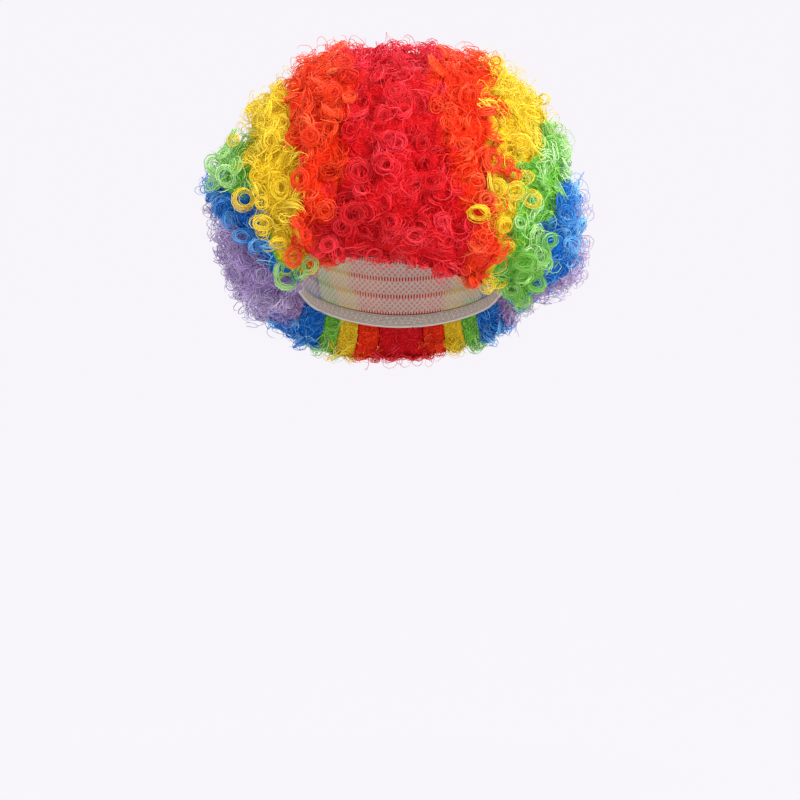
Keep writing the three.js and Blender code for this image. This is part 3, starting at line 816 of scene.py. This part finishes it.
rosette = {
    "fibres": 12, "steps": 11, "turns": (0.9, 1.45), "radius": (4.8 * mm, 8.6 * mm), "rise": (1 * mm, 6 * mm),
    "tilt": (0, 55), "sink": (0.5 * mm, 4.5 * mm), "thick": 0.32 * mm, "scatter": 0.7 * mm, "sway": 0.12,
    "ring": (0.4, 1.08), "wave": 0.35 * mm, "drift": 0.9,
}
tuft = {
    "fibres": 7, "steps": 10, "turns": (0.8, 1.4), "radius": (4 * mm, 8 * mm), "rise": (3 * mm, 10 * mm),
    "tilt": (20, 80), "sink": (0, 4 * mm), "thick": 0.33 * mm, "scatter": 1.3 * mm, "sway": 0.2,
    "ring": (0.55, 1.12), "wave": 0.4 * mm, "drift": 1.0,
}
filler = {
    "fibres": 1, "steps": 8, "turns": (0.5, 1.1), "radius": (4 * mm, 9 * mm), "rise": (0, 6 * mm),
    "tilt": (10, 90), "sink": (1 * mm, 8 * mm), "thick": 0.32 * mm, "scatter": 0, "sway": 0,
    "ring": (1, 1), "wave": 0.5 * mm, "drift": 0,
}
stray = {
    "fibres": 1, "steps": 12, "turns": (0.6, 1.15), "radius": (3.5 * mm, 7 * mm), "rise": (1 * mm, 6 * mm),
    "tilt": (40, 90), "sink": (-3 * mm, 1 * mm), "thick": 0.2 * mm, "scatter": 0, "sway": 0,
    "ring": (1, 1), "wave": 0.4 * mm, "drift": 0,
}
frizz = {
    "fibres": 7, "steps": 14, "turns": (1.2, 2.5), "radius": (2.6 * mm, 5.6 * mm), "rise": (2 * mm, 9 * mm),
    "tilt": (0, 90), "thick": 0.26 * mm, "scatter": 1.5 * mm, "sway": 0.35,
    "ring": (0.55, 1.2), "wave": 0.5 * mm, "drift": 2.0,
    "fewer": 4,     # fibres than the kind that it stands in for
}
# How curls of one kind differ, and the fibres of one curl
variety = {
    "turns": (0.88, 1.12),      # of a fibre, in turns of its curl
    "closing": (0.3, 0.12),     # how much a curl and one fibre widen or narrow over their length
    "flat": (0.16, 0.06),       # how far a curl and one fibre are from round
    "waves": (0.7, 2.2),        # along a fibre
    "thick": (0.7, 1.25),
    "rootEnd": 0.15, "tipEnd": 0.25, "thinnest": 0.15, "taper": 0.6,    # how a fibre's ends thin out
    "ownTint": 0.5,             # the share of the tint that isn't the curl's
}
sowing = {
    "tries": 16000, "rosetteGap": 16.2 * mm, "tuftGap": 10.2 * mm, "fillers": 3150, "strays": 760,
    "driftSize": 40 * mm, "driftSeed": 21, "drift": 2.2,    # groups of curls that cross a seam, in degrees
    "thinShare": 0.5, "thinLess": 4 * mm, "thinLeast": -2 * mm,     # the most that curls sink in thin hair
}
sheet = {"stepRound": 2.0, "first": 0.005, "last": 1.995, "rows": 100, "nudge": 0.002}


# Places spread over the outline by the area that it shows, count of them, with their normals: cells of a
# grid are drawn by their areas, and each place is shifted within its cell
def spreadWays(count, seed):
    draw = np.random.default_rng(seed)
    azimuth, along = np.meshgrid(np.arange(-180, 180, sheet["stepRound"]),
                                 np.linspace(sheet["first"], sheet["last"], sheet["rows"]), indexing="ij")
    at = lambda a, t: outlinePoint(a, np.clip(t, 0, 2), 0.0)
    step = (sheet["last"] - sheet["first"]) / (sheet["rows"] - 1)
    turn, nudge = sheet["stepRound"] / 2, sheet["nudge"]
    width = at(azimuth + turn, along) - at(azimuth - turn, along)
    height = at(azimuth, along + step / 2) - at(azimuth, along - step / 2)
    area = np.linalg.norm(np.cross(width, height), axis=-1).ravel()
    picked = draw.choice(area.size, count, p=area / area.sum())
    a = azimuth.ravel()[picked] + draw.uniform(-turn, turn, count)
    t = np.clip(along.ravel()[picked] + draw.uniform(-0.5, 0.5, count) * step, nudge, 2 - nudge)
    normal = unit(np.cross(at(a, t + nudge) - at(a, t - nudge), at(a + turn / 2, t) - at(a - turn / 2, t)))
    points = at(a, t)
    normal *= np.sign(np.sum(normal * seenFromMiddle(points), axis=1) + 1e-9)[:, None]
    return points, normal, area.sum()


# Keeps the points that lie at least spacing from every one kept before
def thinned(points, spacing):
    kept = []
    for i, p in enumerate(points):
        if not kept or np.min(np.sum((points[kept] - p) ** 2, axis=1)) > spacing ** 2:
            kept.append(i)
    return kept


# Two directions across an axis, by its cross product with an upright or, where the axis is that, with +X
def crossAxes(axis):
    helper = np.where(np.abs(axis[:, 2:3]) < 0.9, np.array([[0, 0, 1.0]]), np.array([[1.0, 0, 0]]))
    e1 = unit(np.cross(axis, helper))
    return e1, np.cross(axis, e1)


# Helices of one kind round axes that lean from the normals, each a bundle of fibres of slightly different
# rings
def grow(kind, places, normals, sink, seed, size=None, lean=None):
    draw = np.random.default_rng(seed)
    n, m = len(places), len(places) * kind["fibres"]
    each = np.repeat(np.arange(n), kind["fibres"])
    varied = lambda key: draw.uniform(-variety[key][0], variety[key][0], n)[each]
    tilt = np.radians(draw.uniform(*kind["tilt"], n) if lean is None else lean)
    e1, e2 = crossAxes(normals)
    around = draw.uniform(0, 2 * math.pi, n)
    sideways = e1 * np.cos(around)[:, None] + e2 * np.sin(around)[:, None]
    axis = unit(normals * np.cos(tilt)[:, None] + sideways * np.sin(tilt)[:, None])
    radius = draw.uniform(*kind["radius"], n) if size is None else size
    rise = draw.uniform(*kind["rise"], n)
    reach = rise / 2 * np.cos(tilt) + radius * np.sin(tilt)
    centre = places - normals * (reach + sink)[:, None]
    hand = np.where(draw.random(n) < 0.5, -1.0, 1.0)
    tone = draw.random(n)

    centre = centre[each] + draw.normal(0, 1, (m, 3)) * kind["scatter"]
    axis = unit(axis[each] + draw.normal(0, 1, (m, 3)) * kind["sway"])
    e1, e2 = crossAxes(axis)
    t = np.linspace(0, 1, kind["steps"])[None, :]
    turns = (draw.uniform(*kind["turns"], n)[each] * draw.uniform(*variety["turns"], m))[:, None]
    start = (draw.uniform(0, 2 * math.pi, n)[each] + draw.normal(0, 1, m) * kind["drift"])[:, None]
    angle = start + hand[each][:, None] * 2 * math.pi * turns * t
    closing = varied("closing") + draw.uniform(-variety["closing"][1], variety["closing"][1], m)
    ring = draw.uniform(*kind["ring"], m)[:, None] * (1 + closing[:, None] * (t - 0.5))
    flat = (1 + varied("flat") + draw.uniform(-variety["flat"][1], variety["flat"][1], m))[:, None]
    waves = draw.uniform(*variety["waves"], m)[:, None] * t + draw.random(m)[:, None]
    wave = np.sin(2 * math.pi * waves) * kind["wave"]
    r = radius[each][:, None] * ring + wave
    z = rise[each][:, None] * (t - 0.5) + wave
    paths = (centre[:, None, :] + axis[:, None, :] * z[..., None]
             + e1[:, None, :] * (r * flat * np.cos(angle))[..., None]
             + e2[:, None, :] * (r / flat * np.sin(angle))[..., None])
    ends = np.minimum(t / variety["rootEnd"], (1 - t) / variety["tipEnd"])
    taper = np.clip(ends, variety["thinnest"], 1) ** variety["taper"]
    thick = kind["thick"] * draw.uniform(*variety["thick"], m)[:, None] * taper
    own = variety["ownTint"]
    tintAndShade = np.clip(tone[each] * (1 - own) + draw.random(m) * own, 0, 1)
    return {"paths": paths, "axes": axis, "thick": thick, "tintAndShade": tintAndShade, "root": each}


growth = []     # every batch of fibres, with the stripe that each one belongs to


# Keeps a batch: index and side are the stripes of its curls
def keep(batch, index, side):
    growth.append((batch, index[batch["root"]], side[batch["root"]]))


# Sows curls at points of the outline. A curl's stripe is the one that it lies in after a drift in degrees,
# which is soft noise and the spread of single curls. Purple ones are frizz. Curls in hollows get a darker
# tint as painted shade, and those on clumps a lighter one.
def sow(kind, points, normals, seed, spread, deeper=0.0):
    sink = deeper + rng.uniform(*kind["sink"], len(points))
    shake = softNoise(points, sowing["driftSize"], sowing["driftSeed"]) * sowing["drift"]
    shake = shake + np.random.default_rng(seed).normal(0, spread, len(points))
    index, side = stripeOf(points, shake)
    thickness = hairAlong(unit(seenFromMiddle(points)))[0]
    thin = np.maximum(thickness * sowing["thinShare"] - sowing["thinLess"], sowing["thinLeast"])
    sink = np.minimum(sink, thin)
    places = filled(points, thickness)
    fuzzy = index == colourNames.index("purple")
    frizzy = {**frizz, "fibres": max(1, kind["fibres"] - frizz["fewer"])}
    for chosen, form in ((~fuzzy, kind), (fuzzy, frizzy)):
        batch = grow(form, places[chosen], normals[chosen], sink[chosen], seed + 1)
        # Painted shade: the tint is darkened in hollows between clumps and lightened on the clumps
        batch["tintAndShade"] -= clump["shade"] * (hollow(points[chosen])[batch["root"]] - clump["even"])
        keep(batch, index[chosen], side[chosen])


# Rosettes evenly spread, tufts evenly between them, then single fibres that fill in and that stray
def sowOutside():
    points, normals, area = spreadWays(sowing["tries"], seed=3)
    depth = hollow(points) * clump["depth"]
    first = thinned(points, sowing["rosetteGap"])
    sow(rosette, points[first], normals[first], seed=40, spread=1.4, deeper=depth[first])
    order = np.concatenate([first, np.setdiff1d(np.arange(len(points)), first)])
    second = order[thinned(points[order], sowing["tuftGap"])][len(first):]
    sow(tuft, points[second], normals[second], seed=45, spread=1.5, deeper=depth[second])
    print("hair outside:", round(area * 1e4), "cm2, rosettes:", len(first), "tufts:", len(second))
    points, normals, area = spreadWays(sowing["fillers"], seed=8)
    sow(filler, points, normals, seed=50, spread=1.6, deeper=hollow(points) * clump["depth"])
    points, normals, area = spreadWays(sowing["strays"], seed=9)
    sow(stray, points, normals, seed=60, spread=2.0)


hem = {
    "places": 73, "each": 2, "turn": 2.5,   # places round the hem, curls at each, how they shift in degrees
    "out": (1 * mm, 8 * mm), "lift": (-3.5 * mm, 4 * mm), "spread": 1.5,
    "curl": {**rosette, "fibres": 6, "radius": (3.8 * mm, 6.5 * mm), "tilt": (30, 90)},
    "curlSink": -3 * mm,
    "loose": {**stray, "radius": (3 * mm, 6 * mm), "sink": (-9 * mm, -4 * mm)},
}


# Curls along the hem, that hang below it
def curlHem():
    azimuth = np.linspace(-180, 180, hem["places"] + 1)[:-1].repeat(hem["each"])
    count = len(azimuth)
    azimuth += rng.uniform(-hem["turn"], hem["turn"], count)
    radius, height = hemAt(azimuth)
    out = rng.uniform(*hem["out"], count)
    points = pointRound(azimuth, radius + out, height + rng.uniform(*hem["lift"], count))
    down = unit(pointRound(azimuth, 0.5, -1.0))
    index, side = stripeOf(points, rng.normal(0, hem["spread"], count))
    keep(grow(hem["curl"], points, down, np.full(count, hem["curlSink"]), seed=70), index, side)
    keep(grow(hem["loose"], points, down, rng.uniform(*hem["loose"]["sink"], count), seed=75), index, side)


inside = {
    "azimuth": (65, 295), "along": (1.0, 1.95),     # from one ear round the nape to the other, below the rim
    "tries": 900, "gap": 7 * mm, "sink": -2 * mm, "spread": 1.5,
    "curl": {**tuft, "fibres": 5, "radius": (3 * mm, 6 * mm), "rise": (1 * mm, 5 * mm), "tilt": (10, 60)},
}


# Curls on the inside of the hair that hangs free at the nape
def curlInside():
    azimuth = rng.uniform(*inside["azimuth"], inside["tries"])
    points = innerPoint(azimuth, rng.uniform(*inside["along"], inside["tries"]))
    inward = unit(pointRound(azimuth, -1.0, 0.0))
    chosen = thinned(points, inside["gap"])
    index, side = stripeOf(points, rng.normal(0, inside["spread"], inside["tries"]))
    sink = np.full(len(chosen), inside["sink"])
    batch = grow(inside["curl"], points[chosen], inward[chosen], sink, seed=80)
    keep(batch, index[chosen], side[chosen])


# Curls that stand out in the wig as it is worn, by where they are seen from in front: column and row of the
# frame, how many pixels they are across, their stripe, how many fibres they have and how far they lean away
seenCurls = [
    (244, 199, 21, "yellow", -1, 11, 15), (262, 202, 14, "yellow", -1, 8, 35),
    (262, 223, 18, "yellow", -1, 10, 20), (281, 188, 20, "yellow", -1, 10, 25),
    (270, 141, 20, "yellow", -1, 10, 20), (232, 141, 13, "yellow", -1, 4, 30),
    (236, 138, 10, "yellow", -1, 3, 60), (278, 243, 15, "yellow", -1, 8, 50),
    (205, 189, 10, "blue", -1, 3, 30), (222, 208, 15, "blue", -1, 8, 35),
    (243, 236, 19, "blue", -1, 9, 30), (255, 246, 17, "blue", -1, 8, 40),
    (228, 222, 17, "blue", -1, 8, 45), (214, 165, 20, "green", -1, 9, 30),
    (226, 177, 22, "green", -1, 10, 20), (212, 184, 16, "green", -1, 7, 40),
    (235, 166, 16, "green", -1, 6, 50), (222, 152, 14, "green", -1, 4, 50),
    (310, 264, 20, "green", -1, 7, 35), (286, 280, 20, "green", -1, 10, 25),
    (300, 272, 16, "green", -1, 7, 40), (279, 270, 14, "green", -1, 6, 50),
    (293, 257, 19, "orange", -1, 11, 15), (311, 137, 18, "orange", -1, 11, 15),
    (305, 236, 17, "orange", -1, 8, 40), (298, 222, 16, "orange", -1, 7, 45),
    (334, 108, 26, "orange", -1, 10, 62), (333, 91, 18, "orange", -1, 10, 15),
    (345, 62, 16, "orange", -1, 8, 30), (318, 250, 16, "red", 0, 8, 40), (328, 244, 17, "red", 0, 8, 30),
    (338, 253, 15, "red", 0, 6, 45), (360, 171, 23, "red", 0, 11, 15), (385, 163, 21, "red", 0, 10, 20),
    (434, 181, 21, "red", 0, 11, 20), (354, 214, 25, "red", 0, 12, 15), (396, 90, 22, "red", 0, 10, 25),
    (382, 116, 18, "red", 0, 8, 30), (388, 138, 18, "red", 0, 8, 35), (390, 222, 20, "red", 0, 9, 25),
    (415, 236, 20, "red", 0, 9, 30), (478, 213, 19, "yellow", 1, 11, 33),
    (497, 188, 19, "yellow", 1, 10, 25), (515, 191, 20, "yellow", 1, 9, 20),
    (532, 200, 19, "yellow", 1, 6, 25), (505, 225, 16, "yellow", 1, 8, 40),
    (522, 142, 20, "yellow", 1, 9, 35), (505, 166, 20, "orange", 1, 10, 30),
    (493, 161, 19, "orange", 1, 10, 30), (513, 175, 16, "orange", 1, 8, 40),
    (525, 262, 21, "green", 1, 10, 20), (541, 256, 22, "green", 1, 9, 25),
    (536, 284, 20, "green", 1, 9, 30), (512, 290, 18, "green", 1, 8, 35),
    (551, 240, 18, "green", 1, 7, 40), (523, 276, 18, "green", 1, 7, 40),
    (567, 215, 20, "blue", 1, 8, 30), (572, 245, 20, "blue", 1, 8, 30),
    (527, 305, 14, "yellow", 1, 4, 30), (497, 61, 16, "orange", 1, 2, 25),
    (544, 99, 13, "yellow", 1, 2, 30), (552, 126, 14, "green", 1, 3, 50), (350, 258, 13, "red", 0, 2, 30),
    (374, 255, 14, "red", 0, 3, 30), (289, 326, 12, "blue", -1, 4, 45), (296, 336, 10, "blue", -1, 4, 50),
    (275, 310, 14, "blue", -1, 5, 45), (244, 262, 22, "purple", -1, 9, 25),
    (235, 250, 19, "purple", -1, 8, 30), (228, 236, 16, "purple", -1, 8, 40),
    (260, 276, 21, "purple", -1, 8, 25), (246, 284, 18, "purple", -1, 8, 40),
    (252, 297, 19, "purple", -1, 8, 40), (264, 305, 18, "purple", -1, 7, 40),
    (278, 300, 18, "purple", -1, 7, 40), (251, 302, 14, "purple", -1, 5, 50),
    (257, 314, 14, "purple", -1, 5, 50), (221, 250, 14, "purple", -1, 3, 50),
]
seenCurl = {
    "steps": 15, "turns": (1.1, 1.9), "rise": (2 * mm, 5 * mm), "thick": 0.28 * mm, "scatter": 0.6 * mm,
    "sway": 0.1, "ring": (0.55, 1.06), "drift": 0.7, "sink": -2.5 * mm, "seed": 200,
    "onLine": 2 * mm, "slack": 1.2,     # how near the line of sight the outline has to be
    "rest": 1.3 * mm, "closer": 0.12,   # how far it stands off the hair, and the share of it that is closer
    "slides": 4, "slide": 2 * mm,       # the most slides towards the hair, and the length of one
    "around": 22 * mm,                  # hair this near counts
}
# The frame: its scale at the origin, its width in pixels, the origin's column and row, and the lens
view = {"mmPerPixel": 0.70, "frame": 800, "middleColumn": 401, "crownRow": 125, "distance": 2.2, "sensor": 36}
pixel = view["mmPerPixel"] * mm
cameraPlace = np.array([(view["frame"] / 2 - view["middleColumn"]) * pixel, -view["distance"],
                        (view["crownRow"] - view["frame"] / 2) * pixel])


# The foremost point of the outline in the frame at a column and a row, or the outline's point nearest that
# line
def placeSeen(column, row, grid):
    seen = np.array([(column - view["middleColumn"]) * pixel, 0, (view["crownRow"] - row) * pixel])
    aim = (seen - cameraPlace) / np.linalg.norm(seen - cameraPlace)
    arm = grid - cameraPlace
    far = arm @ aim
    off = np.linalg.norm(arm - far[:, None] * aim, axis=1)
    near = off < max(off.min() * seenCurl["slack"], seenCurl["onLine"])
    return cameraPlace + aim * far[near].min(), -aim


# Slides a curl along a direction until a share of its points lie closer than rest to the hair that is there
def settle(batch, way, there):
    middle = batch["paths"].mean(axis=(0, 1))
    near = there[np.abs(there - middle).max(axis=1) < seenCurl["around"]]
    for _ in range(seenCurl["slides"]):
        gaps = np.linalg.norm(batch["paths"].reshape(-1, 1, 3) - near, axis=2).min(axis=1)
        gap = np.quantile(gaps, seenCurl["closer"])
        batch["paths"] += way * np.clip(gap - seenCurl["rest"], 0, seenCurl["slide"])


# Grows each of the seen curls where its line of sight meets the outline, and settles it on the sown hair
def curlSeen():
    azimuth, along = np.meshgrid(np.arange(-180, 180, 1.0), np.linspace(0, 2, 200), indexing="ij")
    grid = outlinePoint(azimuth, along, 2 * mm)
    grid = filled(grid, hairAlong(unit(seenFromMiddle(grid)))[0]).reshape(-1, 3)
    sown = np.concatenate([batch["paths"].reshape(-1, 3) for batch, index, side in growth])
    for number, (column, row, across, colour, side, fibres, lean) in enumerate(seenCurls):
        place, facing = placeSeen(column, row, grid)
        form = frizz if colour == "purple" else {**rosette, **seenCurl}
        batch = grow({**form, "fibres": fibres}, place[None], facing[None], np.array([seenCurl["sink"]]),
                     seenCurl["seed"] + number, size=np.array([across / 2 * pixel]), lean=np.array([lean]))
        settle(batch, -facing, sown)
        keep(batch, np.array([colourNames.index(colour)]), np.array([side]))


# One piece for each stripe from the fibres that belong to it
def makeRinglets(colour, side):
    parts = []
    for batch, index, sides in growth:
        mine = (index == colourNames.index(colour)) & (sides == side)
        if mine.any():
            paths, axes, thick, tintAndShade = (batch[key][mine] for key in ("paths", "axes", "thick", "tintAndShade"))
            parts.append(tubes(paths, axes, thick, 3, tintAndShade))
    return meshPiece(stripeName(colour, side) + "_ringlets", parts, curlMaterials[colour])


sowOutside()
curlHem()
curlInside()
curlSeen()
for colour, side in stripes:
    dress(makeRinglets(colour, side), colour, side)
triangles = 0
for piece in pieces:
    piece.data.calc_loop_triangles()
    triangles += len(piece.data.loop_triangles)
    print(piece.name, len(piece.data.loop_triangles), "triangles")
print("curls done,", triangles, "triangles in all")

# Stage, light and camera

stage = {
    "floorLevel": -0.45, "radius": 5.0, "bend": 3.2, "wall": 3.6,
    "flatSteps": 8, "bendSteps": 16, "turnSteps": 64,
    "albedo": (0.02, 0.02, 0.02, 1), "glow": (0.971, 0.942, 1, 1), "glowStrength": 0.942,
}
lamps = {   # place, width and power
    "key": ((1.2, -1.9, 0.9), 0.9, 45),
    "fill": ((-1.6, -1.7, 0.3), 1.4, 7),
    "top": ((0.1, 0.3, 2.0), 1.4, 26),
    "rim": ((0.3, 2.2, 0.9), 1.4, 14),
    "low": ((0.6, -2.1, -0.6), 1.0, 12),
}
lampTarget = (0, 0, -0.04)
worldStrength = 0.6


# A round studio dish: a profile turned round the vertical axis, flat, then a quarter circle up into a wall
def makeStage():
    turn = np.linspace(0, math.pi / 2, stage["bendSteps"])[1:]
    flat = stage["radius"] - stage["bend"]
    r = np.concatenate([np.linspace(0, flat, stage["flatSteps"]), flat + stage["bend"] * np.sin(turn),
                        [stage["radius"]]])
    z = np.concatenate([np.zeros(stage["flatSteps"]), stage["bend"] * (1 - np.cos(turn)), [stage["wall"]]])
    a = np.linspace(0, 360, stage["turnSteps"] + 1)[:-1]
    points = pointRound(a[:, None], r[None, :], z[None, :] + stage["floorLevel"])
    rows, cols = points.shape[:2]
    grid = np.arange(rows * cols).reshape(rows, cols)
    nextRow = np.roll(grid, -1, axis=0)
    quads = np.stack([grid[:, :-1], grid[:, 1:], nextRow[:, 1:], nextRow[:, :-1]], -1).reshape(-1, 4)
    material, tree, shader = clothMaterial("paleStudio", roughness=0.9, gloss=0)
    shader.inputs["Base Color"].default_value = stage["albedo"]
    shader.inputs["Emission Color"].default_value = stage["glow"]
    shader.inputs["Emission Strength"].default_value = stage["glowStrength"]
    floor = meshPiece("studio_floor", [{"points": points, "faces": [quads]}], material)


# A round lamp that looks at the wig
def areaLight(name, place, width, power):
    data = bpy.data.lights.new(name, "AREA")
    data.shape, data.size, data.energy = "DISK", width, power
    lamp = bpy.data.objects.new(name, data)
    lamp.location = place
    lamp.rotation_euler = (Vector(lampTarget) - Vector(place)).to_track_quat("-Z", "Y").to_euler()
    bpy.context.scene.collection.objects.link(lamp)


makeStage()
for name, (place, width, power) in lamps.items():
    areaLight(name, place, width, power)
world = bpy.data.worlds.new("studio")
world.use_nodes = True
world.node_tree.nodes["Background"].inputs["Color"].default_value = (1, 1, 1, 1)
world.node_tree.nodes["Background"].inputs["Strength"].default_value = worldStrength
bpy.context.scene.world = world
bpy.context.scene.view_settings.view_transform = "Standard"

camera = bpy.data.objects.new("camera", bpy.data.cameras.new("camera"))
camera.data.sensor_width = view["sensor"]
camera.data.lens = view["sensor"] * view["distance"] / (pixel * view["frame"])
camera.location = cameraPlace
camera.rotation_euler = (math.pi / 2, 0, 0)
bpy.context.scene.collection.objects.link(camera)
bpy.context.scene.camera = camera
print("stage, lamps and camera done")
